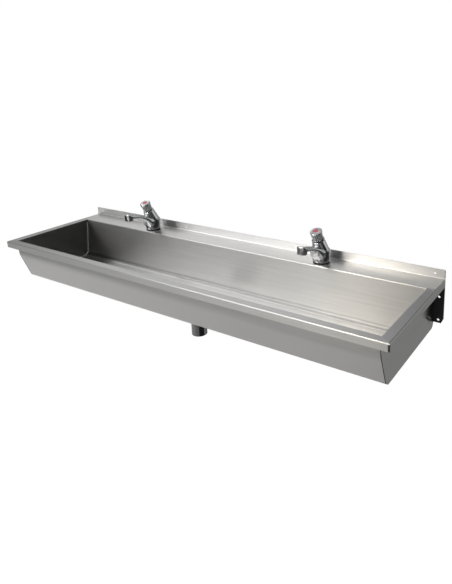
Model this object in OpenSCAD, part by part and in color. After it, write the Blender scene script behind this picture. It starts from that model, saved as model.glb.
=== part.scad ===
// Wall-hung wash trough in folded stainless sheet, with two self-closing push taps.
// Millimetres. Origin: middle of the length, on the wall plane, at the height of the
// upstand's fixing holes. +X right, +Y into the wall, +Z up.
// Heights inside the modules count from the top of the deck; at_deck() lowers them.

/* [Trough] */
// Overall length, end fold to end fold
trough_l = 1200; // [1000:10:1800]
// Front fold to wall
trough_w = 340; // [320:5:420]
// Deck top to underside of the floor
trough_h = 122; // [110:2:180]
// Thickness of the folded sheet
sheet_t = 1.5; // [1.2:0.1:2]
// Width of the front rim
rim_w = 22; // [18:1:30]
// Width of the end rims
end_rim_w = 24; // [18:1:30]
// Height of the turned-down edge of the rim
fold_h = 18; // [15:1:30]
// Outside radius of the small press bends
bend_r = 3; // [2.6:0.2:4]
// Height of the plumb upper part of the front wall
plumb_drop = 42; // [30:1:60]
// Setback of the front wall's foot from the front fold, inside
front_foot = 52; // [40:1:70]
// Setback of the rear wall's foot from the wall plane, inside
rear_foot = 78; // [72:1:95]
// Radius of the coves along the floor
cove_r = 12; // [8:1:16]
// Radius of the soft bend half way up the front wall
wall_bend_r = 40; // [10:1:60]
// Radius of the lower rear corner of the end panels
end_corner_r = 14; // [8:1:30]
// Width of the open slit where the front and end folds meet
corner_slit = 2; // [1:0.5:3]

/* [Tap ledge and upstand] */
// Depth of the tap ledge
ledge_w = 67; // [62:1:90]
// Height of the upstand above the deck
upstand_h = 24; // [20:1:60]
// Radius of the upstand's top corners
upstand_corner_r = 4; // [2:1:8]
// Height of the upstand's fixing holes above the deck
fix_hole_z = 12; // [9:1:15]
// Diameter of the upstand's fixing holes
fix_hole_d = 5; // [4:0.5:7]
// Number of fixing holes along the upstand
fix_hole_count = 4; // [2:1:6]
// End of the trough to the first fixing hole
fix_hole_inset = 24.5; // [20:0.5:60]

/* [Wall brackets] */
// Thickness of the bracket plate
bracket_t = 4; // [3:1:6]
// Height of the bracket's foot below the deck
bracket_drop = 109; // [90:1:115]
// Forward reach of the bracket's side leg
bracket_reach = 54; // [40:1:58]
// Diameter of the wall-screw holes
screw_hole_d = 6.5; // [5:0.5:8]
// Distance between the two wall-screw holes
screw_pitch = 58; // [40:1:62]
// Depth of the upper wall-screw hole below the deck
screw_top_z = 44; // [38:0.5:46]
// Diameter of the weld studs that carry the bracket
stud_d = 6; // [5:1:8]

/* [Waste] */
// Diameter of the pressed recess round the outlet
recess_d = 96; // [92:1:110]
// Depth of the pressed recess
recess_h = 4; // [3:0.5:6]
// Diameter of the waste flange
flange_d = 84; // [70:1:88]
// Outside diameter of the waste's thread
waste_thread_d = 47.8; // [46:0.1:50]
// Outside diameter of the tail pipe
tail_d = 42; // [38:1:44]
// Wall of the waste body and the tail pipe
waste_wall = 1.8; // [1.2:0.1:2.5]
// Length of the waste's thread below the recess
thread_l = 36; // [32:1:60]
// Length of the tail pipe below its coupling nut
tail_l = 40; // [30:1:90]

/* [Taps] */
// Distance between the two taps
tap_pitch = 593; // [400:1:800]
// Tap centre to the wall plane
tap_back = 39; // [32:1:41]
// Radius of the tap's body
foot_r = 22.7; // [22:0.1:25]
// Forward reach of the spout to the middle of its outlet
spout_reach = 93; // [90:1:120]
// Height of the outlet above the deck
outlet_z = 50.5; // [46:0.5:54]
// Width of the spout
spout_w = 24.6; // [23:0.2:28]
// Lean of the barrel from plumb, in degrees
barrel_tilt = 24; // [20:1:30]
// Radius of the barrel's rim
barrel_r = 16; // [15.6:0.2:18]
// Height of the barrel's rim above the deck, on its axis
barrel_top_z = 63; // [58:1:70]
// Forward offset of the barrel's rim, on its axis
barrel_top_y = 14; // [10:1:18]
// Outside diameter of the inlet thread
inlet_d = 20.955; // [20.9:0.005:21]
// Length of the inlet shank below the deck
shank_l = 48; // [40:1:60]

/* [Push button] */
// Travel of the button
travel = 7; // [4:0.5:8]
// Radius of the cap at its face
cap_r = 15.5; // [14:0.1:16]
// Radius of the cap at its lower end
cap_foot_r = 12.6; // [12:0.1:13]
// Height of the cap's face above the barrel's rim
cap_top = 30; // [27:1:34]
// Number of finger flutes round the cap
flute_count = 18; // [12:1:24]
// Radius of the coloured index disc
index_r = 7; // [5:0.5:8]
// Radius of the push stem
stem_r = 3; // [2.5:0.1:3.5]
// Number of turns in the return spring
spring_turns = 7; // [5:1:9]

/* [Clearances] */
// Radial clearance of the sliding stem
run_gap = 0.05; // [0.02:0.01:0.1]
// Radial clearance of a bolt or a nut
bolt_gap = 0.3; // [0.1:0.1:0.5]

/* [Hidden] */
$fn = 64;
over = 1;              // how far a cutting solid runs past what it cuts
left = -1;
right = 1;

steel = [0.74, 0.74, 0.72];
chrome = [0.86, 0.87, 0.88];
black = [0.05, 0.05, 0.05];
rubber = [0.10, 0.10, 0.10];
poly = [0.88, 0.88, 0.85];
brass = [0.78, 0.63, 0.33];
red = [0.75, 0.12, 0.16];

half_l = trough_l / 2;
floor_z = sheet_t - trough_h;             // floor, inside
front_in = rim_w - trough_w;              // front rim's inner edge
end_in = half_l - end_rim_w;              // end rim's inner edge
ledge_flat = bend_r - ledge_w;            // where the ledge turns flat
plate_back = -bracket_t;                  // rear edge of the end panels
waste_y = (front_foot - trough_w - rear_foot) / 2;

// ---- bent sheet ------------------------------------------------------------

function unit(v) = v / norm(v);
function left_of(u) = [-u.y, u.x];
function turned(u, a) = [u.x * cos(a) - u.y * sin(a), u.x * sin(a) + u.y * cos(a)];

// Points round one bend of a folded line, offset to the right of the way it runs
function bend(a, p, b, r, off, steps = 8) =
    let (
        ua = unit(p - a),
        ub = unit(b - p),
        side = sign(ua.x * ub.y - ua.y * ub.x),
        ang = acos(ua * ub),
        start = p - ua * r * tan(ang / 2),
        centre = start + left_of(ua) * side * r
    )
    [for (k = [0 : steps]) centre - left_of(turned(ua, side * ang * k / steps)) * (side * r + off)];

// A folded line with a radius at each inner point, offset to the right by off
function folded(pts, radii, off) =
    let (n = len(pts) - 1)
    concat(
        [pts[0] - left_of(unit(pts[1] - pts[0])) * off],
        [for (i = [1 : n - 1]) each bend(pts[i - 1], pts[i], pts[i + 1], radii[i - 1], off)],
        [pts[n] - left_of(unit(pts[n] - pts[n - 1])) * off]
    );

function backwards(v) = [for (i = [len(v) - 1 : -1 : 0]) v[i]];
function sheet_section(pts, radii) =
    concat(folded(pts, radii, 0), backwards(folded(pts, radii, sheet_t)));

// The show side of the trough's section, from the front fold round to the upstand
trough_line = [
    [-trough_w, -fold_h], [-trough_w, 0], [front_in, 0], [front_in, -plumb_drop],
    [front_foot - trough_w, floor_z], [-rear_foot, floor_z], [-ledge_w, 0],
    [-sheet_t, 0], [-sheet_t, upstand_h]
];
trough_radii = [bend_r, bend_r, wall_bend_r, cove_r, cove_r, bend_r, bend_r];

// ---- frames and small shapes ---------------------------------------------------

module at_deck() translate([0, 0, -fix_hole_z]) children();
module on_side(side) mirror([side == left ? 1 : 0, 0, 0]) children();
module at_tap(side) at_deck() translate([side * tap_pitch / 2, -tap_back, 0]) children();
module at_barrel(side)
    at_tap(side) translate([0, -barrel_top_y, barrel_top_z]) rotate([barrel_tilt, 0, 0]) children();
module at_waste() at_deck() translate([0, waste_y, 0]) children();
module both_ends() for (side = [left, right]) on_side(side) children();

// Extrudes a section drawn in Y and Z along X
module along_x(l) rotate([90, 0, 90]) linear_extrude(height = l, center = true) children();
// Extrudes a section drawn in X and Z from y0 to y1
module along_y(y0, y1) translate([0, y1, 0]) rotate([90, 0, 0]) linear_extrude(height = y1 - y0) children();

module tube(r_out, r_in, z0, z1)
    translate([0, 0, z0]) difference() {
        cylinder(r = r_out, h = z1 - z0);
        translate([0, 0, -over]) cylinder(r = r_in, h = z1 - z0 + 2 * over);
    }

module rod(r, z0, z1) translate([0, 0, z0]) cylinder(r = r, h = z1 - z0);

// Hexagon by its width across flats
module hexagon(flats, z0, z1) translate([0, 0, z0]) cylinder(d = flats / cos(30), h = z1 - z0, $fn = 6);

// ---- trough --------------------------------------------------------------------

tap_hole_r = inlet_d / 2 + bolt_gap + 0.2;
waste_hole_r = waste_thread_d / 2 + bolt_gap;
fix_pitch = (trough_l - 2 * fix_hole_inset) / (fix_hole_count - 1);

// Plan of the deck's right half that belongs to the long sheet
module sheet_plan()
    polygon([
        [0, -trough_w], [half_l, -trough_w], [end_in, front_in], [end_in, -ledge_w],
        [end_in + bend_r, ledge_flat], [half_l - bend_r, ledge_flat], [half_l - bend_r, 0], [0, 0]
    ]);

// Plan of the deck's right half that belongs to the end panel's rim
module end_plan()
    polygon([
        [half_l, -trough_w], [half_l, ledge_flat], [end_in + bend_r, ledge_flat],
        [end_in, -ledge_w], [end_in, front_in]
    ]);

// The notch that leaves the folds open at a front corner
module slit_cut()
    translate([half_l - corner_slit, -trough_w - over, -fold_h - over])
        cube([corner_slit + over, corner_slit + over, fold_h + over - bend_r - 0.5]);

// Below the rims the long sheet stops where the end panel's plate begins
module plate_cut()
    translate([end_in, front_in - sheet_t, -trough_h - over])
        cube([bend_r, ledge_flat - front_in + sheet_t, trough_h + over - sheet_t]);

module upstand_corner_cut()
    translate([half_l - upstand_corner_r, 0, upstand_h - upstand_corner_r])
        rotate([90, 0, 0])
            translate([0, 0, -over]) difference() {
                cube([upstand_corner_r + over, upstand_corner_r + over, 2 * over + 2 * bend_r]);
                translate([0, 0, -over]) cylinder(r = upstand_corner_r, h = 4 * over + 2 * bend_r);
            }

module recess_cup() {
    lip = 2 * sheet_t;
    rotate_extrude(convexity = 4)
        polygon([
            [waste_hole_r, floor_z - recess_h], [recess_d / 2 - lip, floor_z - recess_h],
            [recess_d / 2, floor_z], [recess_d / 2 + sheet_t, floor_z],
            [recess_d / 2 + sheet_t, floor_z - sheet_t],
            [recess_d / 2 - lip + sheet_t, floor_z - recess_h - sheet_t],
            [waste_hole_r, floor_z - recess_h - sheet_t]
        ]);
}

module trough_sheet() color(steel) at_deck() {
    difference() {
        intersection() {
            along_x(trough_l) polygon(sheet_section(trough_line, trough_radii));
            union() {
                both_ends() translate([0, 0, -trough_h - over])
                    linear_extrude(height = trough_h + over) sheet_plan();
                translate([-half_l, -trough_w, 0]) cube([trough_l, trough_w, upstand_h]);
            }
        }
        both_ends() {
            slit_cut();
            upstand_corner_cut();
            plate_cut();
        }
        for (i = [0 : fix_hole_count - 1])
            translate([fix_hole_inset - half_l + i * fix_pitch, over, fix_hole_z])
                rotate([90, 0, 0]) cylinder(d = fix_hole_d, h = sheet_t + 2 * over);
        for (side = [left, right])
            translate([side * tap_pitch / 2, -tap_back, -sheet_t - over])
                cylinder(r = tap_hole_r, h = sheet_t + 2 * over);
        translate([0, waste_y, floor_z - sheet_t - over])
            cylinder(r = recess_d / 2, h = sheet_t + 2 * over);
    }
    translate([0, waste_y, 0]) recess_cup();
}

// Side view of the end panel's plate, flush with the outside of the folded sheet
end_outline = concat(
    [[front_in - sheet_t, -sheet_t]],
    bend(trough_line[2], trough_line[3], trough_line[4], wall_bend_r, sheet_t),
    bend(trough_line[3], trough_line[4], trough_line[5], cove_r, sheet_t),
    [for (k = [0 : 8]) [plate_back - end_corner_r + end_corner_r * sin(k * 90 / 8),
                        end_corner_r - trough_h - end_corner_r * cos(k * 90 / 8)]],
    [[plate_back, -sheet_t]]
);

// The end rim's section: fold, rim and the bend down into the plate
end_line = [[half_l, -fold_h], [half_l, 0], [end_in, 0], [end_in, -2 * bend_r]];

module end_panel(side) color(steel) at_deck() on_side(side) {
    difference() {
        union() {
            intersection() {
                along_y(-trough_w, ledge_flat)
                    polygon(concat(folded(end_line, [bend_r, bend_r], 0),
                                   backwards(folded(end_line, [bend_r, bend_r], -sheet_t))));
                translate([0, 0, -fold_h - over]) linear_extrude(height = fold_h + 2 * over) end_plan();
            }
            intersection() {
                along_y(ledge_flat - over, 0)
                    polygon(concat(folded(end_line, [bend_r, bend_r], 0),
                                   backwards(folded(end_line, [bend_r, bend_r], -sheet_t))));
                translate([half_l - bend_r, ledge_flat - over, -fold_h])
                    cube([bend_r, over - ledge_flat, fold_h]);
            }
            intersection() {
                translate([end_in + sheet_t / 2, 0, 0]) along_x(sheet_t) polygon(end_outline);
                translate([end_in, -trough_w, -trough_h]) cube([sheet_t, trough_w, trough_h - sheet_t]);
            }
        }
        translate([end_in - over, front_in - sheet_t - over, -2 * bend_r])
            cube([bend_r, over, 2 * bend_r + over]);
        slit_cut();
    }
}

stiffener_w = 62;
stiffener_y = 54;
stiffener_t = 3;
stiffener_shift = 4;                       // towards the wall from the tap's hole

module tap_stiffener(side) color(steel) at_tap(side)
    difference() {
        translate([-stiffener_w / 2, -stiffener_y / 2 + stiffener_shift, -sheet_t - stiffener_t])
            cube([stiffener_w, stiffener_y, stiffener_t]);
        translate([0, 0, -sheet_t - stiffener_t - over])
            cylinder(r = tap_hole_r, h = stiffener_t + 2 * over);
    }

// ---- wall brackets -----------------------------------------------------------------

bracket_top = -fold_h - 1;
screw_in = end_rim_w / 2;                  // wall-screw holes to the end of the trough
stud_y = -31;
stud_zs = [-46, -88];
stud_l = 18;
washer_t = 1.6;
washer_r = stud_d + 0.5;
nut_h = 5;
nut_flats = 10 * stud_d / 6;
toe_x = 5;                                 // bevel at the foot of the wall plate
toe_z = 10.5;

// Cylinders along the trough through the bracket's two stud places
module at_studs() for (z = stud_zs) translate([end_in, stud_y, z]) rotate([0, -90, 0]) children();

module wall_bracket(side) color(black) at_deck() on_side(side) {
    difference() {
        union() {
            along_y(-bracket_t, 0)
                polygon([
                    [end_in - bracket_t, bracket_top], [half_l, bracket_top],
                    [half_l, toe_z - bracket_drop], [half_l - toe_x, -bracket_drop],
                    [end_in - bracket_t, -bracket_drop]
                ]);
            translate([end_in - bracket_t / 2, 0, 0]) along_x(bracket_t)
                polygon([
                    [0, bracket_top], [-bracket_reach, bracket_top],
                    [-bracket_reach, toe_z - bracket_drop],
                    [toe_z - bracket_reach, -bracket_drop], [0, -bracket_drop]
                ]);
        }
        for (z = [-screw_top_z, -screw_top_z - screw_pitch])
            translate([half_l - screw_in, over, z])
                rotate([90, 0, 0]) cylinder(d = screw_hole_d, h = bracket_t + 2 * over);
        at_studs() translate([0, 0, -over])
            cylinder(r = stud_d / 2 + bolt_gap, h = bracket_t + 2 * over);
    }
}

module bracket_studs(side) color(steel) at_deck() on_side(side)
    at_studs() cylinder(d = stud_d, h = stud_l);

module bracket_nuts(side) color(steel) at_deck() on_side(side)
    at_studs() {
        tube(washer_r, stud_d / 2 + run_gap, bracket_t, bracket_t + washer_t);
        difference() {
            hexagon(nut_flats, bracket_t + washer_t, bracket_t + washer_t + nut_h);
            rod(stud_d / 2 + run_gap, bracket_t, bracket_t + washer_t + nut_h + over);
        }
    }

// ---- waste -------------------------------------------------------------------------

seal_t = 1.5;
seat_z = floor_z - recess_h;               // floor of the recess
under_z = seat_z - sheet_t;                // underside of the recess
flange_z = seat_z + seal_t;                // underside of the flange
flange_top = flange_z + 1.8;
flange_edge = 0.6;                         // thickness of the flange's rim
flange_bevel = 3;
grid_t = 2;
grid_z = flange_top - grid_t;              // underside of the grid
grid_r = waste_thread_d / 2 - waste_wall - 0.8;
grid_seat = 1.2;                           // width of the ledge that carries the grid
throat_h = 8;                              // depth of the narrow throat below the grid
bar_w = 8;                                 // cross bar that takes the grid's screw
bar_z = grid_z - 7;
bar_h = 4;
slot_w = 2.8;
slot_in = 7;                               // grid's middle to its slots
screw_r = 3;
screw_head_r = 5.5;
screw_head_h = 2.2;
driver_w = 1.2;                            // slot for the screwdriver, as deep as it is wide
washer_z = under_z - 2.5;
backnut_z = washer_z - 11;
backnut_flange = 2;
thread_end = under_z - thread_l;
tail_top = thread_end - 2.5;
collar_t = 2;
lip_z = tail_top - collar_t;
coupling_z0 = lip_z - 4.5;
coupling_z1 = thread_end + 12;
tail_end = coupling_z0 - tail_l;
tail_root_r = tail_d / 2 - 0.5;            // the pipe inside the coupling nut

module waste_body() color(chrome) at_waste() {
    difference() {
        union() {
            rotate_extrude()
                polygon([[0, flange_z], [flange_d / 2, flange_z], [flange_d / 2, flange_z + flange_edge],
                         [flange_d / 2 - flange_bevel, flange_top], [0, flange_top]]);
            rod(waste_thread_d / 2, thread_end, flange_z);
        }
        rod(grid_r - grid_seat, thread_end - over, flange_top + over);
        rod(grid_r, grid_z, flange_top + over);
        rod(waste_thread_d / 2 - waste_wall, thread_end - over, grid_z - throat_h);
    }
    difference() {
        translate([-grid_r, -bar_w / 2, bar_z]) cube([2 * grid_r, bar_w, bar_h]);
        rod(screw_r + run_gap, bar_z - over, bar_z + bar_h + over);
    }
}

module waste_grid() color(chrome) at_waste()
    difference() {
        rod(grid_r, grid_z, flange_top);
        for (a = [0 : 30 : 330])
            rotate([0, 0, a]) translate([slot_in, -slot_w / 2, grid_z - over])
                cube([grid_r - slot_in - 3, slot_w, grid_t + 2 * over]);
        rod(screw_r + 0.2, grid_z - over, flange_top + over);
    }

module waste_grid_screw() color(chrome) at_waste() {
    rod(screw_r, bar_z - 2, flange_top);
    difference() {
        rod(screw_head_r, flange_top, flange_top + screw_head_h);
        translate([-screw_head_r - over, -driver_w / 2, flange_top + screw_head_h - driver_w])
            cube([2 * (screw_head_r + over), driver_w, driver_w + over]);
    }
}

module waste_seal() color(rubber) at_waste()
    tube(flange_d / 2, waste_hole_r, seat_z, flange_z);

module waste_washer() color(poly) at_waste()
    tube(waste_thread_d / 2 + 10, waste_hole_r, washer_z, under_z);

module waste_backnut() color(brass) at_waste()
    difference() {
        union() {
            hexagon(waste_thread_d + 12, backnut_z, washer_z - backnut_flange);
            rod(waste_thread_d / 2 + 9, washer_z - backnut_flange, washer_z);
        }
        rod(waste_thread_d / 2 + run_gap, backnut_z - over, washer_z + over);
    }

module waste_tail_seal() color(rubber) at_waste()
    tube(waste_thread_d / 2 - 0.2, tail_d / 2 - waste_wall, tail_top, thread_end);

module waste_tail_pipe() color(chrome) at_waste()
    difference() {
        union() {
            rod(tail_d / 2, tail_end, coupling_z0);
            rod(tail_root_r, coupling_z0 - over, tail_top);
            rod(waste_thread_d / 2 - 0.2, lip_z, tail_top);
        }
        rod(tail_d / 2 - waste_wall, tail_end - over, tail_top + over);
    }

module waste_coupling_nut() color(chrome) at_waste()
    difference() {
        union() {
            rod(waste_thread_d / 2 + 4.5, coupling_z0 + 1.5, coupling_z1);
            translate([0, 0, coupling_z0])
                cylinder(r1 = waste_thread_d / 2 + 3, r2 = waste_thread_d / 2 + 4.5, h = 1.5);
        }
        rod(tail_d / 2 + bolt_gap, coupling_z0 - over, coupling_z1);
        rod(waste_thread_d / 2 + run_gap, lip_z, coupling_z1 + over);
        for (a = [0 : 30 : 330])
            rotate([0, 0, a]) translate([waste_thread_d / 2 + 6, 0, coupling_z0 - over])
                cylinder(r = 2.6, h = coupling_z1 - coupling_z0 + 2 * over, $fn = 24);
    }

// ---- tap body ----------------------------------------------------------------------

gasket_t = 1.5;
collar_z = 36;                             // top of the body's upright part
rise = 0.3;                                // slope of the spout's back
valley_y = 29;                             // where the spout's back leaves the barrel
valley_z = 50;
arch_y = 62;                               // crown of the arch under the spout
arch_h = 31;
arch_l = 40;                               // foot of the arch to its crown
arch_foot_z = 12;
under_rise = 0.19;                         // slope of the spout's underside
root_w = 40;                               // width of the spout where it leaves the body
head_l = 19;                               // depth of the spout's head, front to back
sides = 32;
counterbore_r = cap_r - 1.2;
counterbore_h = 16;
cartridge_r = 10;
cartridge_l = 40;
chamber_r = 8;
chamber_l = 52;
gallery_r = cartridge_r + 1.4;
gallery = [-37, -27];                      // ring-shaped space round the cartridge, along the barrel
waterway_r = 2.8;
inlet_bore_r = 6;
inlet_bore_top = 22;
insert_r = 8;
insert_top = outlet_z + 8.5;
socket_z = gasket_t + 9;                   // top of the socket that takes the inlet shank
shank_root_r = inlet_d / 2 - 0.5;          // the inlet thread inside its nut and the body

function on_ring(k, e) =
    let (c = cos(360 * k / sides), s = sin(360 * k / sides))
    [sign(c) * pow(abs(c), e), sign(s) * pow(abs(s), e)];

// A solid through a list of rings that all have the same number of points
module lofted(rings) {
    n = len(rings[0]);
    last = (len(rings) - 1) * n;
    polyhedron(points = [for (r = rings) each r], convexity = 6, faces = concat(
        [[for (k = [0 : n - 1]) k]],
        [[for (k = [n - 1 : -1 : 0]) last + k]],
        [for (i = [0 : len(rings) - 2], k = [0 : n - 1], half = [0, 1])
            let (a = i * n, m = (k + 1) % n)
            half == 0 ? [a + m, a + k, a + n + k] : [a + m, a + n + k, a + n + m]]
    ));
}

function spout_back(y) = valley_z + rise * (y - valley_y);
function spout_under(y) =
    arch_foot_z + under_rise * (y - arch_y + arch_l)
    + arch_h * pow(1 - pow(min(1, max(0, (arch_y - y) / arch_l)), 2), 0.7);
function spout_mid(y) = (spout_back(y) + spout_under(y)) / 2;
// 1 at the root of the spout, 0 where it has its even width
function root_share(y) = pow(max(0, min(1, (arch_y + 4 - y) / 44)), 2);
spout_ys = [8, 15, 20, 22.6, 23.4, 24.6, 26.4, 29, 32, 36, 41, 47, 54, 62, 72, 83, spout_reach - 4];
function spout_ring(y) =
    let (
        half = (spout_w + (root_w - spout_w) * root_share(y)) / 2,
        tall = (spout_back(y) - spout_under(y)) / 2,
        e = 0.6 + 0.3 * root_share(y)
    )
    [for (k = [0 : sides - 1]) let (p = on_ring(k, e)) [half * p.x, -y, spout_mid(y) + tall * p.y]];

module spout() lofted([for (y = spout_ys) spout_ring(y)]);
waterway_foot = [6, 30];
knee = [41, spout_back(41) - 4.2];         // where the waterway turns along the spout

// The spout's head, an upright rounded block with a top that follows the spout's back
function head_ring(share, z, drop) =
    [for (k = [sides - 1 : -1 : 0])
        let (p = on_ring(k, 0.75), y = spout_reach + share * p.y * head_l / 2)
        [share * p.x * spout_w / 2, -y, drop < 0 ? z : spout_back(y) - drop]];

module spout_head()
    lofted([
        head_ring(0.95, outlet_z, -1), head_ring(1, outlet_z + 0.6, -1), head_ring(1, 0, 3),
        head_ring(0.985, 0, 1.6), head_ring(0.94, 0, 0.6), head_ring(0.86, 0, 0.05)
    ]);

module foot_column()
    rotate_extrude()
        polygon([
            [0, gasket_t], [foot_r - 2.2, gasket_t], [foot_r - 1.1, gasket_t + 1.6],
            [foot_r - 0.5, gasket_t + 4.6], [foot_r - 0.1, gasket_t + 11], [foot_r, gasket_t + 20],
            [foot_r, collar_z - 0.8], [foot_r - 0.3, collar_z - 0.2], [foot_r - 1.2, collar_z + 0.3],
            [0, collar_z + 0.3]
        ]);

// The barrel, lofted from the level top of the body to its leaning rim
barrel_steps = 6;
function barrel_ring_at(t) =
    [for (k = [0 : sides - 1])
        let (
            p = on_ring(k, 1),
            low = (foot_r - 1.4) * p,
            high = barrel_r * p
        )
        [low.x + (high.x - low.x) * t,
         low.y + (high.y * cos(barrel_tilt) - barrel_top_y - low.y) * t,
         collar_z - 1 + (high.y * sin(barrel_tilt) + barrel_top_z - collar_z + 1) * t]];

module barrel() lofted([for (i = [0 : barrel_steps]) barrel_ring_at(i / barrel_steps)]);

// A straight bore between two points of the tap's middle plane, given as forward and up
module drilled(p, q, r)
    translate([0, -p.x, p.y]) rotate([atan2(q.x - p.x, q.y - p.y), 0, 0])
        cylinder(r = r, h = norm(q - p), $fn = 32);

module tap_body(side) color(chrome) difference() {
    at_tap(side) {
        foot_column();
        barrel();
        spout();
        spout_head();
    }
    at_barrel(side) {
        rod(counterbore_r, -counterbore_h, over);
        rod(cartridge_r + run_gap, -cartridge_l, 0);
        rod(gallery_r, gallery[0], gallery[1]);
        rod(chamber_r, -chamber_l, 0);
    }
    at_tap(side) {
        rod(shank_root_r + run_gap, 0, socket_z);
        rod(inlet_bore_r, 0, inlet_bore_top);
        drilled(waterway_foot, knee + [1.5, 0.6], waterway_r);
        drilled(knee, [spout_reach - 2, spout_mid(spout_reach - 2)], waterway_r);
        translate([0, -spout_reach, 0]) {
            rod(insert_r, outlet_z - over, insert_top);
            rod(insert_r - 1.8, insert_top - over, spout_back(spout_reach) - 5.5);
        }
    }
}

module tap_gasket(side) color(rubber) at_tap(side) tube(foot_r - 1.6, tap_hole_r, 0, gasket_t);

module inlet_shank(side) color(brass) at_tap(side)
    difference() {
        union() {
            rod(inlet_d / 2, -shank_l, tap_nut_z);
            rod(shank_root_r, tap_nut_z - over, socket_z);
        }
        rod(shank_bore_r, -shank_l - over, socket_z + over);
    }

tap_under = -sheet_t - stiffener_t;
shank_bore_r = 6.5;
tap_washer_r = 16.5;
tap_washer_t = 2.5;
tap_nut_h = 8;
tap_nut_flats = 29;
tap_nut_z = tap_under - tap_washer_t - tap_nut_h;

module tap_washer(side) color(poly) at_tap(side)
    tube(tap_washer_r, tap_hole_r, tap_under - tap_washer_t, tap_under);

module tap_backnut(side) color(brass) at_tap(side)
    difference() {
        hexagon(tap_nut_flats, tap_nut_z, tap_under - tap_washer_t);
        rod(shank_root_r + run_gap, tap_nut_z - over, 0);
    }

// Outlet housing with upright vanes that straighten the flow
module outlet_insert(side) color(poly) at_tap(side) translate([0, -spout_reach, 0]) {
    bore_r = insert_r - 1.6;
    vane_t = 0.7;
    vane_h = 5;
    vane_in = 2;
    vane_pitch = 2.6;
    tube(insert_r, bore_r, outlet_z + 0.5, insert_top);
    for (x = [-2 : 2], a = [0, 90])
        intersection() {
            rotate([0, 0, a]) translate([x * vane_pitch - vane_t / 2, -insert_r, outlet_z + vane_in])
                cube([vane_t, 2 * insert_r, vane_h]);
            rod(bore_r + 0.3, outlet_z + vane_in, outlet_z + vane_in + vane_h);
        }
}

// ---- tap mechanism, along the barrel's own axis --------------------------------------

ring_h = 2.5;
cap_foot = -3;
cap_bore_r = cap_foot_r - 2.4;
cap_ceiling = cap_top - 6;
guide_r = 6.4;
guide_top = 4;
cart_head_top = -counterbore_h + 3;
wire_r = 0.65;
spring_r = (guide_r + cap_bore_r) / 2;

module barrel_ring(side) color(chrome) at_barrel(side)
    difference() {
        rotate_extrude()
            polygon([[0, 0], [barrel_r + 0.5, 0], [barrel_r + 0.5, ring_h - 0.8],
                     [barrel_r - 0.3, ring_h], [0, ring_h]]);
        rod(counterbore_r, -over, ring_h + over);
    }

module cartridge(side) color(brass) at_barrel(side)
    difference() {
        union() {
            rod(cartridge_r, -cartridge_l, -counterbore_h);
            hexagon(22, -counterbore_h, cart_head_top);
            rod(guide_r, cart_head_top, guide_top);
        }
        rod(stem_r + run_gap, -cartridge_l - over, guide_top + over);
        rod(stem_r + 1.4, guide_top - 4, guide_top - 2);
        rod(chamber_r - 2, -cartridge_l - over, -cartridge_l + 12);
        for (a = [0 : 60 : 300])
            rotate([0, 0, a]) translate([0, 0, -cartridge_l + 8])
                rotate([0, 90, 0]) cylinder(r = 2, h = cartridge_r + over, $fn = 24);
    }

module stem_seal(side) color(rubber) at_barrel(side)
    tube(stem_r + 1.4, stem_r + run_gap, guide_top - 4, guide_top - 2);

// Points of the spring's wire, swept with six sides
spring_steps = 14;
spring_z0 = cart_head_top + wire_r;
spring_z1 = cap_ceiling - wire_r;
function coil_at(i) =
    let (n = spring_turns * spring_steps, a = 360 * i / spring_steps)
    [spring_r * cos(a), spring_r * sin(a), spring_z0 + (spring_z1 - spring_z0) * i / n];

module return_spring(side) color(steel) at_barrel(side) {
    n = spring_turns * spring_steps;
    lofted([for (i = [0 : n])
        let (a = 360 * i / spring_steps, out = [cos(a), sin(a), 0])
        [for (b = [0 : 60 : 300]) coil_at(i) + wire_r * (out * cos(b) - [0, 0, sin(b)])]]);
}

module push_stem(side) color(steel) at_barrel(side) {
    rod(stem_r, -cartridge_l - 2, cap_ceiling + 3);
    rod(stem_r + 1.6, -cartridge_l - 3.2, -cartridge_l - 1);
}

module valve_washer(side) color(rubber) at_barrel(side)
    tube(chamber_r - 1, stem_r, -cartridge_l - 1, -cartridge_l);

// Fluted outline of the cap's grip at its upper, wider end
function flute_wave(a) = -0.45 + 0.45 * abs(cos(a * flute_count / 2));
grip_top = cap_top - 5;
grip_r = cap_r - 0.7;                      // at the flutes' upper end, just inside the band above

module push_cap(side) color(chrome) at_barrel(side)
    difference() {
        union() {
            translate([0, 0, cap_foot])
                linear_extrude(height = grip_top - cap_foot, scale = grip_r / cap_foot_r)
                    polygon([for (k = [0 : 5 * flute_count - 1])
                        let (a = 360 * k / (5 * flute_count))
                        (cap_foot_r + flute_wave(a)) * [cos(a), sin(a)]]);
            rotate_extrude()
                polygon([[0, grip_top], [cap_r - 0.4, grip_top], [cap_r, grip_top + 0.6],
                         [cap_r, cap_top - 2.4], [cap_r - 0.4, cap_top - 1.4],
                         [cap_r - 1.3, cap_top - 0.6], [index_r + 1.4, cap_top], [0, cap_top]]);
        }
        rod(cap_bore_r, cap_foot - over, cap_ceiling);
        rod(stem_r + run_gap, cap_ceiling - over, cap_ceiling + 3);
        rod(index_r + 0.2, cap_top - 1.5, cap_top + over);
    }

module index_disc(side) color(red) at_barrel(side)
    rotate_extrude()
        polygon([[0, cap_top - 1.5], [index_r, cap_top - 1.5], [index_r, cap_top - 0.3],
                 [index_r - 0.5, cap_top + 0.1], [index_r / 2, cap_top + 0.35], [0, cap_top + 0.45]]);

// ---- what is drawn --------------------------------------------------------------------

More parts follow.
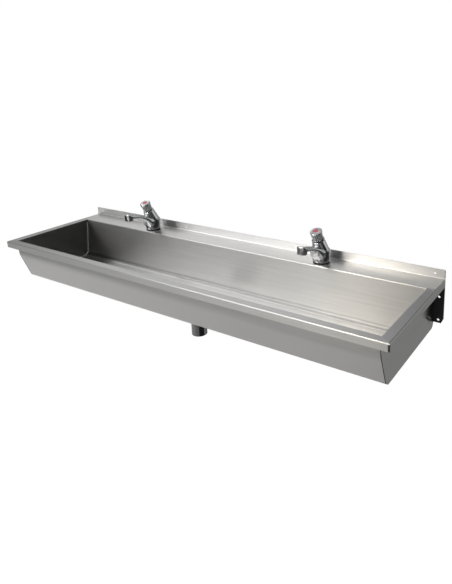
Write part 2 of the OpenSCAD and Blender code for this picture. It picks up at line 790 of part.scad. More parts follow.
trough_sheet();
end_panel(left);  // left_end_panel
end_panel(right);  // right_end_panel
tap_stiffener(left);  // left_tap_stiffener
tap_stiffener(right);  // right_tap_stiffener
wall_bracket(left);  // left_wall_bracket
wall_bracket(right);  // right_wall_bracket
bracket_studs(left);  // left_bracket_studs
bracket_studs(right);  // right_bracket_studs
bracket_nuts(left);  // left_bracket_nuts
bracket_nuts(right);  // right_bracket_nuts
waste_body();
waste_grid();
waste_grid_screw();
waste_seal();
waste_washer();
waste_backnut();
waste_tail_seal();
waste_tail_pipe();
waste_coupling_nut();
tap_body(left);  // left_tap_body
tap_body(right);  // right_tap_body
tap_gasket(left);  // left_tap_gasket
tap_gasket(right);  // right_tap_gasket
inlet_shank(left);  // left_inlet_shank
inlet_shank(right);  // right_inlet_shank
tap_washer(left);  // left_tap_washer
tap_washer(right);  // right_tap_washer
tap_backnut(left);  // left_tap_backnut
tap_backnut(right);  // right_tap_backnut
outlet_insert(left);  // left_outlet_insert
outlet_insert(right);  // right_outlet_insert
barrel_ring(left);  // left_barrel_ring
barrel_ring(right);  // right_barrel_ring
cartridge(left);  // left_cartridge
cartridge(right);  // right_cartridge
stem_seal(left);  // left_stem_seal
stem_seal(right);  // right_stem_seal
return_spring(left);  // left_return_spring
return_spring(right);  // right_return_spring
push_stem(left);  // left_push_stem
push_stem(right);  // right_push_stem
valve_washer(left);  // left_valve_washer
valve_washer(right);  // right_valve_washer
push_cap(left);  // left_push_cap
push_cap(right);  // right_push_cap
index_disc(left);  // left_index_disc
index_disc(right);  // right_index_disc
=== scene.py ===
"""Looks of a wall-hung wash trough in folded stainless sheet with two self-closing push taps.

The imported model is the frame: +X along the trough, +Y into the wall, +Z up, metres, with the
origin on the wall plane at the height of the upstand's fixing holes.
"""
import math

import bmesh
import bpy
from mathutils import Euler, Matrix, Vector


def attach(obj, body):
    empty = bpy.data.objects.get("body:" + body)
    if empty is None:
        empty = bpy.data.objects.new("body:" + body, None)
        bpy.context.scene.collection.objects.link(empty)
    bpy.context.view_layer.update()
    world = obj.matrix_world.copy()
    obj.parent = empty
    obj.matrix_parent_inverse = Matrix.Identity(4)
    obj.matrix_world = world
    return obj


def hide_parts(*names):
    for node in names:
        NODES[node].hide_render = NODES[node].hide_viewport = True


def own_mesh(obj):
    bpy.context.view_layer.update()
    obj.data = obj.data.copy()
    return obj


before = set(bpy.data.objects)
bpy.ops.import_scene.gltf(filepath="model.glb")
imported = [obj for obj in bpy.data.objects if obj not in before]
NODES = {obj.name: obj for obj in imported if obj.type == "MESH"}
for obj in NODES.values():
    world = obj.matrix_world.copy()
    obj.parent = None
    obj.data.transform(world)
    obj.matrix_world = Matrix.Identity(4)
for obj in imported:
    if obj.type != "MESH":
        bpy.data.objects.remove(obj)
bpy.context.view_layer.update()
BASE = "trough"
SIDES = {"left": -1, "right": 1}
MM = 0.001

# ---- driving sizes, in metres ---------------------------------------------------------------

DECK_Z = -12 * MM                 # top of the deck
TAP_X = 296.5 * MM                # middle of the trough to each tap
TAP_Y = -39 * MM

# the tap's casting, about the foot of the tap: forward is away from the wall, up from the deck
FOOT_R = 22.7 * MM
COLLAR_Z = 36 * MM                # top of the upright part
FOOT_PROFILE = [                  # radius past FOOT_R and height, in mm
    (-4.2, 1.5), (-2.6, 3.2), (-1.2, 5.6), (-0.4, 9.0), (0, 14.5), (0, 21.5), (0, 34.6),
    (-0.2, 35.5), (-0.6, 36.1), (-1.2, 36.4),
]
BARREL_TILT = math.radians(24)
BARREL_R = 16 * MM
BARREL_FOOT_R = FOOT_R - 1.4 * MM
BARREL_FOOT_Z = COLLAR_Z - 1 * MM
BARREL_TOP = (14 * MM, 63 * MM)   # middle of the barrel's rim: forward, up
BARREL_RINGS = 12
COUNTERBORE_R = 14.3 * MM
COUNTERBORE_H = 16 * MM
PAST_RIM = 4 * MM                 # the counterbore's cutter, past the rim
SPOUT_REACH = 93 * MM
SPOUT_W = 24.6 * MM
SPOUT_POWER = 0.6                 # how far the spout's section is squared off; 1 is round
VALLEY = (29 * MM, 50 * MM)       # where the spout's back leaves the barrel: forward, up
BACK_RISE = 0.3
UNDER_RISE = 0.19
ARCH_Y = 62 * MM                  # where the arch under the spout ends, forward
ARCH_L = 40 * MM
ARCH_H = 31 * MM
ARCH_FOOT_Z = 12 * MM
ARCH_POWER = 0.7
ROOT_W = 40 * MM                  # width of the spout inside the barrel
ROOT_PAST = 4 * MM                # the spout has its own width this far past the arch
ROOT_L = 44 * MM
ROOT_POWER = 0.3                  # what the root adds to SPOUT_POWER
SPOUT_ROOT = [8, 15, 20]          # rings inside the barrel, in mm forward
SPOUT_FROM, SPOUT_STEP, SPOUT_RINGS = 22, 0.8, 83
HEAD_L = 19 * MM
HEAD_POWER = 0.75
HEAD_FOOT = [(0.94, 0), (0.985, 0.3), (1, 1)]      # share of the size, mm above the outlet
HEAD_EDGE = [                     # share of the size, mm below the spout's back
    (1, 3.2), (0.995, 2.4), (0.98, 1.6), (0.95, 0.9), (0.9, 0.35), (0.84, 0.05),
]
OUTLET_Z = 50.5 * MM
OUTLET_FROM, OUTLET_TO = OUTLET_Z - 4 * MM, OUTLET_Z + 9 * MM
INSERT_R = 8 * MM
RING = 96                         # points in a ring
CAST_VOXEL = 0.75 * MM
FILLET_FACTOR, FILLET_PASSES = 0.5, 10
CREASE, CAST_CREASE = 40, 50      # degrees past which an edge stays sharp

# the push cap, along the barrel's axis from its rim
CAP_FOOT = -3 * MM
CAP_TOP = 30 * MM
CAP_CEILING = CAP_TOP - 6 * MM
CAP_R = 15.5 * MM
CAP_FOOT_R = 12.6 * MM
CAP_BORE_R = 10.2 * MM
INDEX_R = 7.2 * MM
GRIP_TOP = CAP_TOP - 5 * MM
GRIP_INSET = 0.4 * MM             # the grip's top inside the band
GRIP_RINGS = 24
FLUTES = 18
FLUTE_STEPS = 12
FLUTE_DEPTH = 1.3 * MM
FLUTE_POWER = 0.8
TOP_FADE = 8                      # the flutes fade out over 1/8 of the grip at its top,
FOOT_FADE, FOOT_LEAD = 12, 0.02   # and fade in over 1/12 at its foot, begun 0.02 under it
CAP_BAND = [                      # mm inside CAP_R and under CAP_TOP: band, edge and face
    (0.3, 4.9), (0, 4.3), (0, 2.2), (0.25, 1.4), (0.95, 0.8), (2.0, 0.38), (4.5, 0.1),
]
INDEX_SEAT = [(0.5, 0), (0, 0.2), (0, 1.5)]        # mm past INDEX_R and under CAP_TOP

# the return spring, along the barrel's axis from its rim
SPRING_FOOT = -13 * MM            # on the cartridge's head
SPRING_TOP = CAP_CEILING
SPRING_R = 8.3 * MM
SPRING_TURNS = 7
WIRE_R = 0.65 * MM
WIRE_SIDES = 8
TURN_STEPS = 16

# the ground welds at the bowl's ends
BEAD_X = 574.9 * MM               # against the end panel's inner face
BEAD_R = 1.6 * MM
BEAD_SIDES = 16
BEAD_PATH = [                     # down the rear corner and along the floor
    Vector((0, -68.9, -21.8)) * MM, Vector((0, -78.0, -121.6)) * MM,
    Vector((0, -89.0, -132.0)) * MM, Vector((0, -271.0, -132.0)) * MM,
]


def clamp(value):
    return min(1, max(0, value))


# ---- zones of painted light and shade on the sheet, and a dark joint line -------------------

def zone(x, y, z, tone):
    """The low and high limit on x without its sign, on y and on z, given in mm, and the tone."""
    return tuple((low * MM, high * MM) for low, high in (x, y, z)), tone


def stacked(x, y, tops, foot):
    """Zones one under the other down a face: the height of each top and its tone."""
    heights = [z for z, _ in tops] + [foot]
    steps = zip(heights, heights[1:], tops)
    return [zone(x, y, (low, high), tone) for high, low, (_, tone) in steps]


BOWL_X = (0, 576)
BOWL_FOOT = -132.46
RIM_Z = (-12.6, -11.5)
# dark line where the front wall meets the end panel; painted shade in the fold's open corner
FRONT_JOINT = zone((574.2, 577), (-341, -280), (-136, -31), 0.02)
CORNER_SLIT_PAINTED_SHADE = zone((596.6, 601), (-341, -336.6), (-31, -15), 0.02)
# painted shadow of the fold: the front wall darkens towards the fold that hangs over it
FOLD_SHADOW_PAINTED = stacked(
    BOWL_X, (-320, -285),
    [(-30.5, 0.38), (-52, 0.4), (-55, 0.42), (-59, 0.45), (-64, 0.48), (-70, 0.51)],
    foot=-131,
)
# rear wall to floor bend: painted shade that dims its highlight, painted light at its foot
BEND_PAINTED_SHADE_AND_LIGHT = stacked(
    BOWL_X, (-90, -76.5),
    [(-121.5, 0.32), (-123.9, 0.26), (-126, 0.23), (-128.3, 0.22), (-130.3, 0.42),
     (-131.7, 0.76)],
    foot=BOWL_FOOT,
)
# painted light: the bowl's floor is lighter than the rest of the sheet
BOWL_FLOOR_PAINTED_LIGHT = zone(BOWL_X, (-285, -79), (-133, BOWL_FOOT), 0.64)
# painted shade: the top of the front rim is darker than the rest of the sheet
FRONT_RIM_PAINTED_SHADE = zone((0, 601), (-338.5, -317), RIM_Z, 0.38)
# painted shade: the tops of the end rims are darker than the rest of the panel
END_RIM_PAINTED_SHADE = zone((575, 601), (-341, 0), RIM_Z, 0.35)
# painted light: the face of the upstand is lighter than the rest of the sheet
UPSTAND_PAINTED_LIGHT = zone((0, 598), (-3, 0.5), (-10.5, 13), 0.74)


# ---- shader helpers -------------------------------------------------------------------------

class Nodes:
    """A node tree, built a node at a time."""

    def __init__(self, tree):
        self.tree = tree

    def add(self, kind, **settings):
        node = self.tree.nodes.new(kind)
        for key, value in settings.items():
            setattr(node, key, value)
        return node

    def link(self, out, socket):
        self.tree.links.new(out, socket)

    def parts(self, vector):
        """The x, y and z of a vector."""
        node = self.add("ShaderNodeSeparateXYZ")
        self.link(vector, node.inputs["Vector"])
        return [node.outputs[axis] for axis in "XYZ"]

    def ramp(self, fac, stops):
        """A colour ramp. A stop's colour is three numbers, or one for a grey."""
        node = self.add("ShaderNodeValToRGB")
        points = node.color_ramp.elements
        while len(points) < len(stops):
            points.new(0.5)
        for point, (at, colour) in zip(points, stops):
            point.position = at
            point.color = (*(colour if isinstance(colour, tuple) else (colour,) * 3), 1)
        self.link(fac, node.inputs["Fac"])
        return node.outputs["Color"]

    def tones(self, fac, low, high, start=0.3):
        return self.ramp(fac, [(start, low), (0.7, high)])

    def span(self, fac, low, high, start=0.3, end=0.7):
        """From low to high as fac goes from start to end."""
        node = self.add("ShaderNodeMapRange")
        node.inputs["From Min"].default_value = start
        node.inputs["From Max"].default_value = end
        node.inputs["To Min"].default_value = low
        node.inputs["To Max"].default_value = high
        self.link(fac, node.inputs["Value"])
        return node.outputs["Result"]

    def share(self, fac, start, end):
        """From 0 to 1 as fac goes from start to end."""
        return self.span(fac, 0, 1, start, end)

    def mix(self, fac, a, b):
        node = self.add("ShaderNodeMix", data_type="RGBA")
        sockets = [i for i in node.inputs if i.type in ("VALUE", "RGBA") and i.enabled]
        for name, value in (("Factor", fac), ("A", a), ("B", b)):
            self.link(value, next(i for i in sockets if i.name == name))
        return next(o for o in node.outputs if o.enabled)


class Shader(Nodes):
    """A material with its Principled shader."""

    def __init__(self, name):
        self.material = bpy.data.materials.new(name)
        self.material.use_nodes = True
        super().__init__(self.material.node_tree)
        self.surface = self.tree.nodes["Principled BSDF"]
        self.coords = self.add("ShaderNodeTexCoord").outputs["Object"]

    def noise(self, scale, stretch=(1, 1, 1), detail=4.0, rough=0.55):
        place = self.add("ShaderNodeMapping")
        place.inputs["Scale"].default_value = stretch
        self.link(self.coords, place.inputs["Vector"])
        node = self.add("ShaderNodeTexNoise")
        node.inputs["Scale"].default_value = scale
        node.inputs["Detail"].default_value = detail
        node.inputs["Roughness"].default_value = rough
        self.link(place.outputs["Vector"], node.inputs["Vector"])
        return node.outputs["Fac"]

    def inside(self, limits):
        """1 where the point lies within the limits on every axis; x without its sign."""
        x, y, z = self.parts(self.coords)
        size = self.add("ShaderNodeMath", operation="ABSOLUTE")
        self.link(x, size.inputs[0])
        result = None
        for value, (low, high) in zip((size.outputs[0], y, z), limits):
            test = self.add("ShaderNodeMath", operation="COMPARE")
            self.link(value, test.inputs[0])
            test.inputs[1].default_value = (low + high) / 2
            test.inputs[2].default_value = (high - low) / 2
            if result is None:
                result = test.outputs[0]
                continue
            both = self.add("ShaderNodeMath", operation="MULTIPLY")
            self.link(result, both.inputs[0])
            self.link(test.outputs[0], both.inputs[1])
            result = both.outputs[0]
        return result

    def bump(self, height, distance, strength, below=None):
        node = self.add("ShaderNodeBump")
        node.inputs["Strength"].default_value = strength
        node.inputs["Distance"].default_value = distance
        self.link(height, node.inputs["Height"])
        if below is not None:
            self.link(below, node.inputs["Normal"])
        return node.outputs["Normal"]

    def set(self, **values):
        for key, value in values.items():
            socket = self.surface.inputs[key.replace("_", " ")]
            if isinstance(value, bpy.types.NodeSocket):
                self.link(value, socket)
            else:
                socket.default_value = value


# ---- materials ------------------------------------------------------------------------------

GRAIN_ACROSS, GRAIN_ALONG = 2600, 9      # streaks in a metre
PASS_ACROSS, PASS_ALONG = 320, 5         # broader marks of the brush's passes
PASS_EDGE = (0.35, 0.65)                 # the noise over which a worn pass turns into a full one
GRAIN_BUMP, SHEET_WAVE = 0.003 * MM, 0.5 * MM
WORN = 0.92                              # brightness of the passes that took more off
ZONE_DARK = 0.93                         # the grain's darker tone in a zone


def times(colour, factor):
    return tuple(factor * c for c in colour)


def along(axis, fine, coarse):
    """Noise scales that draw it out along one axis."""
    return [coarse if each == axis else fine for each in "XYZ"]


def brushed_sheet(name, axis, light, dark, rough, zones):
    """Stainless sheet with its grain along one axis, and gloss spread across the grain."""
    m = Shader(name)
    streak = m.noise(1.0, along(axis, GRAIN_ACROSS, GRAIN_ALONG), detail=2.0, rough=0.6)
    band = m.noise(1.0, along(axis, PASS_ACROSS, PASS_ALONG), detail=3.0)
    broad = m.noise(5.0, detail=2.0)
    tangent = m.add("ShaderNodeTangent", direction_type="RADIAL", axis=axis)
    full = m.tones(streak, dark, light)
    worn = m.tones(streak, times(dark, WORN), times(light, WORN))
    colour = m.mix(m.share(band, *PASS_EDGE), worn, full)
    # painted light and shade: each zone swaps in its own grey over the grain
    for limits, tone in zones:
        colour = m.mix(m.inside(limits), colour, m.tones(streak, ZONE_DARK * tone, tone))
    m.set(
        Base_Color=colour,
        Metallic=1.0,
        Roughness=m.span(streak, rough - 0.04, rough + 0.04),
        Anisotropic=0.95,
        Tangent=tangent.outputs["Tangent"],
        Normal=m.bump(broad, SHEET_WAVE, 0.25, below=m.bump(streak, GRAIN_BUMP, 0.2)),
    )
    return m.material


def chrome(name, tint, rough=0.04):
    m = Shader(name)
    smear = m.noise(60.0, detail=3.0)
    m.set(
        Base_Color=m.tones(smear, tint, times(tint, 0.97), start=0.35),
        Metallic=1.0,
        Roughness=m.span(smear, rough, rough + 0.05),
    )
    return m.material


def powder_coat(name):
    m = Shader(name)
    grain = m.noise(900.0, detail=2.0)
    m.set(
        Base_Color=m.tones(m.noise(30.0), (0.003, 0.003, 0.0035), (0.006, 0.006, 0.0065)),
        Roughness=m.span(grain, 0.38, 0.52),
        Normal=m.bump(grain, 0.08 * MM, 0.5),
    )
    return m.material


def plain(name, low, high, rough, metallic=0.0):
    """A moulded, turned or drawn finish: two close colours, and a fine bump."""
    m = Shader(name)
    grain = m.noise(120.0, detail=3.0)
    m.set(
        Base_Color=m.tones(grain, low, high),
        Metallic=metallic,
        Roughness=m.span(grain, rough - 0.04, rough + 0.06),
        Normal=m.bump(grain, 0.03 * MM, 0.4),
    )
    return m.material


SHEET = brushed_sheet(
    "trough_sheet_brushed", "X", (0.50, 0.50, 0.495), (0.43, 0.43, 0.425), 0.34,
    (*FOLD_SHADOW_PAINTED, FRONT_JOINT, CORNER_SLIT_PAINTED_SHADE, *BEND_PAINTED_SHADE_AND_LIGHT, BOWL_FLOOR_PAINTED_LIGHT, FRONT_RIM_PAINTED_SHADE, UPSTAND_PAINTED_LIGHT),
)
PANEL = brushed_sheet(
    "end_panel_satin", "Y", (0.44, 0.44, 0.43), (0.37, 0.37, 0.36), 0.2, (CORNER_SLIT_PAINTED_SHADE, END_RIM_PAINTED_SHADE),
)
TAP_CHROME = chrome("tap_chrome", (0.68, 0.69, 0.7))
CAP_CHROME = chrome("cap_chrome", (0.55, 0.56, 0.57))
WASTE_CHROME = chrome("waste_chrome", (0.2, 0.2, 0.205), 0.06)
BLACK = powder_coat("bracket_black")
PLAIN_STEEL = plain("plain_steel", (0.42, 0.42, 0.41), (0.55, 0.55, 0.54), 0.36, metallic=1.0)
STEEL = plain("steel_ground", (0.5, 0.5, 0.5), (0.6, 0.6, 0.6), 0.25, metallic=1.0)
BRASS = plain("brass_turned", (0.6, 0.44, 0.2), (0.72, 0.56, 0.28), 0.28, metallic=1.0)
WELD = plain("weld_matt", (0.3, 0.3, 0.29), (0.4, 0.4, 0.38), 0.6, metallic=0.3)
RED = plain("index_red", (0.27, 0.05, 0.07), (0.33, 0.07, 0.09), 0.5)
RUBBER = plain("rubber_black", (0.012, 0.012, 0.012), (0.03, 0.03, 0.03), 0.7)
WHITE = plain("plastic_white", (0.72, 0.72, 0.69), (0.8, 0.8, 0.77), 0.45)
GREY = plain("plastic_grey", (0.36, 0.36, 0.36), (0.45, 0.45, 0.45), 0.42)

FINISHES = {
    "trough_sheet": SHEET, "end_panel": PANEL, "tap_stiffener": PLAIN_STEEL,
    "wall_bracket": BLACK, "bracket_studs": PLAIN_STEEL, "bracket_nuts": PLAIN_STEEL,
    "waste_body": WASTE_CHROME, "waste_grid": WASTE_CHROME, "waste_grid_screw": WASTE_CHROME,
    "waste_seal": RUBBER, "waste_washer": WHITE, "waste_backnut": BRASS,
    "waste_tail_seal": RUBBER, "waste_tail_pipe": WASTE_CHROME, "waste_coupling_nut": WASTE_CHROME,
    "tap_body": TAP_CHROME, "tap_gasket": RUBBER, "inlet_shank": BRASS, "tap_washer": WHITE,
    "tap_backnut": BRASS, "outlet_insert": GREY, "barrel_ring": TAP_CHROME, "cartridge": BRASS,
    "stem_seal": RUBBER, "return_spring": STEEL, "push_stem": STEEL, "valve_washer": RUBBER,
    "push_cap": CAP_CHROME, "index_disc": RED,
}


def kind_of(node):
    """A node's name without its side."""
    for side in SIDES:
        if node.startswith(side + "_"):
            return node[len(side) + 1:]
    return node


for name, obj in NODES.items():
    obj.data.materials.clear()
    obj.data.materials.append(FINISHES[kind_of(name)])


# ---- mesh helpers ---------------------------------------------------------------------------

def link_object(name, data):
    obj = bpy.data.objects.new(name, data)
    bpy.context.scene.collection.objects.link(obj)
    return obj


def object_from(bm, name, material, crease=None):
    """An object of a bmesh, smooth but for the edges sharper than the crease in degrees."""
    mesh = bpy.data.meshes.new(name)
    bmesh.ops.recalc_face_normals(bm, faces=bm.faces)
    bm.to_mesh(mesh)
    bm.free()
    mesh.shade_smooth()
    if crease is not None:
        mesh.set_sharp_from_angle(angle=math.radians(crease))
    mesh.materials.append(material)
    return link_object(name, mesh)


def loft(bm, rings):
    """A closed skin through rings that all have the same number of points."""
    rows = [[bm.verts.new(p) for p in ring] for ring in rings]
    n = len(rows[0])
    for low, high in zip(rows, rows[1:]):
        for k in range(n):
            bm.faces.new((low[k], low[(k + 1) % n], high[(k + 1) % n], high[k]))
    bm.faces.new(rows[0][::-1])
    bm.faces.new(rows[-1])


def circle(count, power=1, way=1):
    """Points round a circle of radius 1; a power under 1 squares it off."""
    points = []
    for k in range(count):
        c = math.cos(2 * math.pi * way * k / count)
        s = math.sin(2 * math.pi * way * k / count)
        points.append((math.copysign(abs(c) ** power, c), math.copysign(abs(s) ** power, s)))
    return points


def apply_modifiers(obj):
    bpy.context.view_layer.update()
    graph = bpy.context.evaluated_depsgraph_get()
    mesh = bpy.data.meshes.new_from_object(obj.evaluated_get(graph))
    old = obj.data
    obj.modifiers.clear()
    obj.data = mesh
    bpy.data.meshes.remove(old)


def cut(obj, cutter):
    """Takes the cutter's form out of an object, and removes the cutter."""
    boolean = obj.modifiers.new("cut", "BOOLEAN")
    boolean.operation = "DIFFERENCE"
    boolean.solver = "EXACT"
    boolean.object = cutter
    apply_modifiers(obj)
    mesh = cutter.data
    bpy.data.objects.remove(cutter)
    bpy.data.meshes.remove(mesh)


# ---- tap body -------------------------------------------------------------------------------
# Built about the foot of one tap: x across, y to the wall, z above the deck.

def spout_back(y):
    return VALLEY[1] + BACK_RISE * (y - VALLEY[0])


def spout_under(y):
    t = clamp((ARCH_Y - y) / ARCH_L)
    rise = UNDER_RISE * (y - ARCH_Y + ARCH_L)
    return ARCH_FOOT_Z + rise + ARCH_H * (1 - t * t) ** ARCH_POWER


def spout_ring(y):
    root = clamp((ARCH_Y + ROOT_PAST - y) / ROOT_L) ** 2
    half = (SPOUT_W + (ROOT_W - SPOUT_W) * root) / 2
    middle = (spout_back(y) + spout_under(y)) / 2
    tall = (spout_back(y) - spout_under(y)) / 2
    points = circle(RING, SPOUT_POWER + ROOT_POWER * root)
    return [(half * c, -y, middle + tall * s) for c, s in points]


def head_ring(share, z=None, drop=0.0):
    """A ring of the head at a height, or a drop below the spout's back."""
    ring = []
    for c, s in circle(RING, HEAD_POWER, way=-1):
        y = SPOUT_REACH + share * s * HEAD_L / 2
        ring.append((share * c * SPOUT_W / 2, -y, spout_back(y) - drop if z is None else z))
    return ring


def flat_ring(r, z):
    return [(r * c, r * s, z) for c, s in circle(RING)]


def barrel_ring(t):
    """A ring of the barrel, from its level foot at t = 0 to its tilted rim at t = 1."""
    ring = []
    for c, s in circle(RING):
        low = Vector((BARREL_FOOT_R * c, BARREL_FOOT_R * s, BARREL_FOOT_Z))
        high = Vector((
            BARREL_R * c,
            BARREL_R * s * math.cos(BARREL_TILT) - BARREL_TOP[0],
            BARREL_R * s * math.sin(BARREL_TILT) + BARREL_TOP[1],
        ))
        ring.append(low.lerp(high, t))
    return ring


def barrel_matrix():
    """From the barrel's own axis to the foot of the tap."""
    at = Matrix.Translation((0, -BARREL_TOP[0], BARREL_TOP[1]))
    return at @ Matrix.Rotation(BARREL_TILT, 4, "X")


def cylinder(name, r, z0, z1, matrix):
    """A round cutter, from z0 to z1 along its own axis."""
    bm = bmesh.new()
    loft(bm, [flat_ring(r, z0), flat_ring(r, z1)])
    bmesh.ops.transform(bm, matrix=matrix, verts=bm.verts)
    return object_from(bm, name, TAP_CHROME)


def tap_casting():
    """One casting: foot, leaning barrel, spout and head, run together with soft fillets."""
    bm = bmesh.new()
    loft(bm, [flat_ring(FOOT_R + dr * MM, z * MM) for dr, z in FOOT_PROFILE])
    loft(bm, [barrel_ring(i / BARREL_RINGS) for i in range(BARREL_RINGS + 1)])
    spout = SPOUT_ROOT + [SPOUT_FROM + SPOUT_STEP * i for i in range(SPOUT_RINGS)]
    loft(bm, [spout_ring(y * MM) for y in spout])
    head = [head_ring(share, OUTLET_Z + up * MM) for share, up in HEAD_FOOT]
    head += [head_ring(share, drop=drop * MM) for share, drop in HEAD_EDGE]
    loft(bm, head)
    casting = object_from(bm, "tap_casting", TAP_CHROME)
    remesh = casting.modifiers.new("one skin", "REMESH")
    remesh.mode = "VOXEL"
    remesh.voxel_size = CAST_VOXEL
    soften = casting.modifiers.new("fillets", "SMOOTH")
    soften.factor = FILLET_FACTOR
    soften.iterations = FILLET_PASSES
    apply_modifiers(casting)
    cut(casting, cylinder("barrel_bore", COUNTERBORE_R, -COUNTERBORE_H, PAST_RIM, barrel_matrix()))
    outlet = Matrix.Translation((0, -SPOUT_REACH, 0))
    cut(casting, cylinder("outlet_bore", INSERT_R, OUTLET_FROM, OUTLET_TO, outlet))
    casting.data.shade_smooth()
    casting.data.set_sharp_from_angle(angle=math.radians(CAST_CREASE))
    return casting


# ---- push cap -------------------------------------------------------------------------------

def grip_radius(angle, z):
    """Radius of the fluted grip: flutes fade out towards the plain band under the face."""
    share = (z - CAP_FOOT) / (GRIP_TOP - CAP_FOOT)
    r = CAP_FOOT_R + (CAP_R - GRIP_INSET - CAP_FOOT_R) * min(1, share)
    fade = clamp((1 - share) * TOP_FADE) * clamp((share + FOOT_LEAD) * FOOT_FADE)
    return r - FLUTE_DEPTH * fade * (1 - abs(math.cos(angle * FLUTES / 2)) ** FLUTE_POWER)


def push_cap():
    """A hollow cap, round its own axis: bore, foot, fluted grip, band, face and index seat."""
    steps = FLUTES * FLUTE_STEPS
    angles = [2 * math.pi * k / steps for k in range(steps)]

    def ring(radii, z):
        return [(r * math.cos(a), r * math.sin(a), z) for r, a in zip(radii, angles)]

    def grip_ring(i):
        z = CAP_FOOT + (GRIP_TOP - CAP_FOOT) * i / GRIP_RINGS
        return ring([grip_radius(a, z) for a in angles], z)

    edge = [(CAP_R - inset * MM, CAP_TOP - drop * MM) for inset, drop in CAP_BAND]
    edge += [(INDEX_R + past * MM, CAP_TOP - drop * MM) for past, drop in INDEX_SEAT]
    bm = bmesh.new()
    loft(
        bm,
        [ring([CAP_BORE_R] * steps, z) for z in (CAP_CEILING, CAP_FOOT)]
        + [grip_ring(i) for i in range(GRIP_RINGS + 1)]
        + [ring([r] * steps, z) for r, z in edge],
    )
    return object_from(bm, "push_cap", CAP_CHROME, CREASE)


def place_pair(piece, kind, body, node, matrix=Matrix()):
    """Puts one copy of a tap's piece on each tap and removes the pattern."""
    piece.data.transform(matrix)
    for side, sign in SIDES.items():
        obj = link_object(f"{side}_{kind}", piece.data)
        obj.location = (sign * TAP_X, TAP_Y, DECK_Z)
        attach(obj, body(side))
        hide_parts(f"{side}_{node}")
    bpy.data.objects.remove(piece)


place_pair(tap_casting(), "tap_casting", lambda side: BASE, "tap_body")
place_pair(
    push_cap(), "fluted_cap", lambda side: f"{side}_button", "push_cap",
    barrel_matrix(),
)


# ---- return springs -------------------------------------------------------------------------

def coil_spring():
    """A return spring at its rest length, round the barrel's axis."""
    bm = bmesh.new()
    steps = TURN_STEPS * SPRING_TURNS
    low, high = SPRING_FOOT + WIRE_R, SPRING_TOP - WIRE_R
    rings = []
    for i in range(steps + 1):
        turn = 2 * math.pi * i / TURN_STEPS
        out = Vector((math.cos(turn), math.sin(turn), 0))
        middle = SPRING_R * out + Vector((0, 0, low + (high - low) * i / steps))
        section = circle(WIRE_SIDES)
        rings.append([middle + WIRE_R * (c * out + Vector((0, 0, s))) for c, s in section])
    loft(bm, rings)
    return object_from(bm, "coil_spring", STEEL, CREASE)


place_pair(
    coil_spring(), "coil_spring", lambda side: BASE, "return_spring",
    barrel_matrix(),
)
for side, sign in SIDES.items():
    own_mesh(bpy.data.objects[f"{side}_coil_spring"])


# ---- corner beads ---------------------------------------------------------------------------

def corner_bead(name, sign):
    """The ground weld down a rear corner of the bowl and along the foot of the end panel."""
    bm = bmesh.new()
    across = Vector((1, 0, 0))
    turns = circle(BEAD_SIDES)
    for start, end in zip(BEAD_PATH, BEAD_PATH[1:]):
        up = (end - start).normalized().cross(across)
        loft(bm, [
            [point + across * sign * BEAD_X + BEAD_R * (c * across + s * up) for c, s in turns]
            for point in (start, end)
        ])
    bead = object_from(bm, name, WELD, CREASE)
    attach(bead, BASE)


for side, sign in SIDES.items():
    corner_bead(f"{side}_corner_bead", sign)


# ---- camera, light and floor ----------------------------------------------------------------

FRAME_W, FRAME_H = 452, 584              # the photograph's frame, in pixels
FOCAL_PX = 550.62
CENTRE_PX = (273.92, 196.54)             # where the camera's axis meets the frame
CAMERA_AT = (0.9297, -1.1976, 0.4915)
CAMERA_TURN = (75.972, 1.579, 33.263)    # degrees

SOFTBOX_AT = (-0.9, -0.9, 1.5)
SOFTBOX_AIM = (-0.9, -0.9, 0)
SOFTBOX_SIZE = (1.4, 1.2)
SOFTBOX_POWER = 34

FLOOR_X, FLOOR_Y, FLOOR_Z = (-4.0, 0.8), (-5.0, 0.5), -0.9
FLOOR_PAINTED_SHADE_X = (-1.8, -0.2)             # painted shade: the floor darkens from the first x to the second

# The studio's walls. A stop is a direction, 0 for -X and 1 for +X, and the brightness there.
WALL_STRENGTH = 15.0
FRONT_WALL = [
    (0.0, 0.001), (0.125, 0.002), (0.14, 0.008), (0.15, 0.03), (0.17, (0.28, 0.277, 0.275)),
    (0.19, (0.38, 0.377, 0.375)), (0.22, (0.34, 0.337, 0.335)), (0.25, (0.41, 0.407, 0.4)),
    (0.285, (0.62, 0.61, 0.595)), (0.31, (0.98, 0.93, 0.84)), (0.33, (1.0, 0.9, 0.76)),
    (0.345, (0.22, 0.2, 0.17)), (0.36, 0.04), (0.42, 0.004), (0.47, 0.004), (0.49, 0.7),
    (0.53, 0.7), (0.55, 0.004), (1.0, 0.002),
]
BACK_WALL = [
    (0.0, 0.023), (0.06, 0.033), (0.09, 0.055), (0.13, 0.112), (0.28, 0.115), (0.34, 0.045),
    (0.5, 0.011), (0.6, 0.027), (0.72, 0.027), (0.8, 0.005), (1.0, 0.003),
]
CEILING = [(0.0, 0.018), (0.5, 0.053), (1.0, 0.018)]
LOW_FRONT = [(0.0, 0.03), (0.6, 0.03), (0.75, 0.005), (1.0, 0.002)]
LOW_BACK = [(0.0, 0.018), (0.64, 0.021), (0.72, 0.031), (0.8, 0.044), (1.0, 0.04)]
FRONT_TO_BACK = (-0.35, -0.05)           # the direction's y over which one turns into the other
LOW_FRONT_TO_BACK = (0.3, 0.5)
LOW_TO_WALLS = (0.2, 0.5)                # the direction's z, the same way
WALLS_TO_CEILING = (0.6, 0.82)


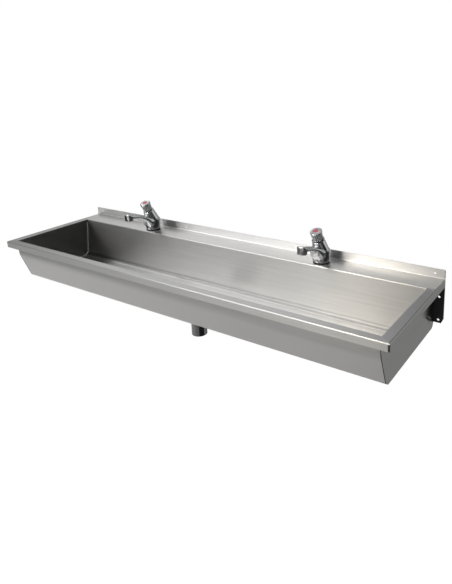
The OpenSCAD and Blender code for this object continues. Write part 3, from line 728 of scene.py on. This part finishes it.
def make_camera():
    data = bpy.data.cameras.new("photo_camera")
    data.sensor_width = 36
    data.lens = FOCAL_PX / FRAME_H * data.sensor_width
    data.shift_x = (FRAME_W / 2 - CENTRE_PX[0]) / FRAME_H
    data.shift_y = (CENTRE_PX[1] - FRAME_H / 2) / FRAME_H
    camera = link_object("photo_camera", data)
    camera.location = CAMERA_AT
    camera.rotation_euler = Euler([math.radians(a) for a in CAMERA_TURN])
    bpy.context.scene.camera = camera


def make_softbox():
    data = bpy.data.lights.new("top_softbox", "AREA")
    data.shape = "RECTANGLE"
    data.size, data.size_y = SOFTBOX_SIZE
    data.energy = SOFTBOX_POWER
    light = link_object("top_softbox", data)
    light.location = SOFTBOX_AT
    aim = Vector(SOFTBOX_AIM) - Vector(SOFTBOX_AT)
    light.rotation_euler = aim.to_track_quat("-Z", "Y").to_euler()
    light.visible_glossy = False


def make_floor():
    (left, right), (front, back) = FLOOR_X, FLOOR_Y
    bm = bmesh.new()
    corners = [(left, front), (right, front), (right, back), (left, back)]
    bm.faces.new([bm.verts.new((x, y, FLOOR_Z)) for x, y in corners])
    m = Shader("floor_pale")
    mottle = m.noise(3.0)
    # painted shade: the floor turns darker towards and under the trough
    shade = m.share(m.parts(m.coords)[0], *FLOOR_PAINTED_SHADE_X)
    m.set(
        Base_Color=m.mix(shade, m.tones(mottle, 0.62, 0.64), m.tones(mottle, 0.33, 0.35)),
        Roughness=0.6,
        Emission_Color=(1, 1, 1, 1),
        Emission_Strength=m.add("ShaderNodeLightPath").outputs["Is Camera Ray"],
    )
    object_from(bm, "floor", m.material)


def make_world():
    """A white backdrop round a studio whose walls differ: brightness by direction."""
    world = bpy.data.worlds.new("studio")
    world.use_nodes = True
    bpy.context.scene.world = world
    n = Nodes(world.node_tree)
    x, y, z = n.parts(n.add("ShaderNodeTexCoord").outputs["Generated"])
    across = n.share(x, -1, 1)
    front, back, ceiling, low_front, low_back = (
        n.ramp(across, stops) for stops in (FRONT_WALL, BACK_WALL, CEILING, LOW_FRONT, LOW_BACK)
    )
    sides = n.mix(n.share(y, *FRONT_TO_BACK), front, back)
    upper = n.mix(n.share(z, *WALLS_TO_CEILING), sides, ceiling)
    low = n.mix(n.share(y, *LOW_FRONT_TO_BACK), low_front, low_back)
    walls = n.tree.nodes["Background"]
    n.link(n.mix(n.share(z, *LOW_TO_WALLS), low, upper), walls.inputs["Color"])
    walls.inputs["Strength"].default_value = WALL_STRENGTH
    backdrop = n.add("ShaderNodeBackground")
    backdrop.inputs["Color"].default_value = (1, 1, 1, 1)
    pick = n.add("ShaderNodeMixShader")
    n.link(n.add("ShaderNodeLightPath").outputs["Is Camera Ray"], pick.inputs[0])
    n.link(walls.outputs[0], pick.inputs[1])
    n.link(backdrop.outputs[0], pick.inputs[2])
    n.link(pick.outputs[0], n.tree.nodes["World Output"].inputs["Surface"])


bpy.context.scene.view_settings.view_transform = "Standard"
make_camera()
make_world()
make_floor()
make_softbox()
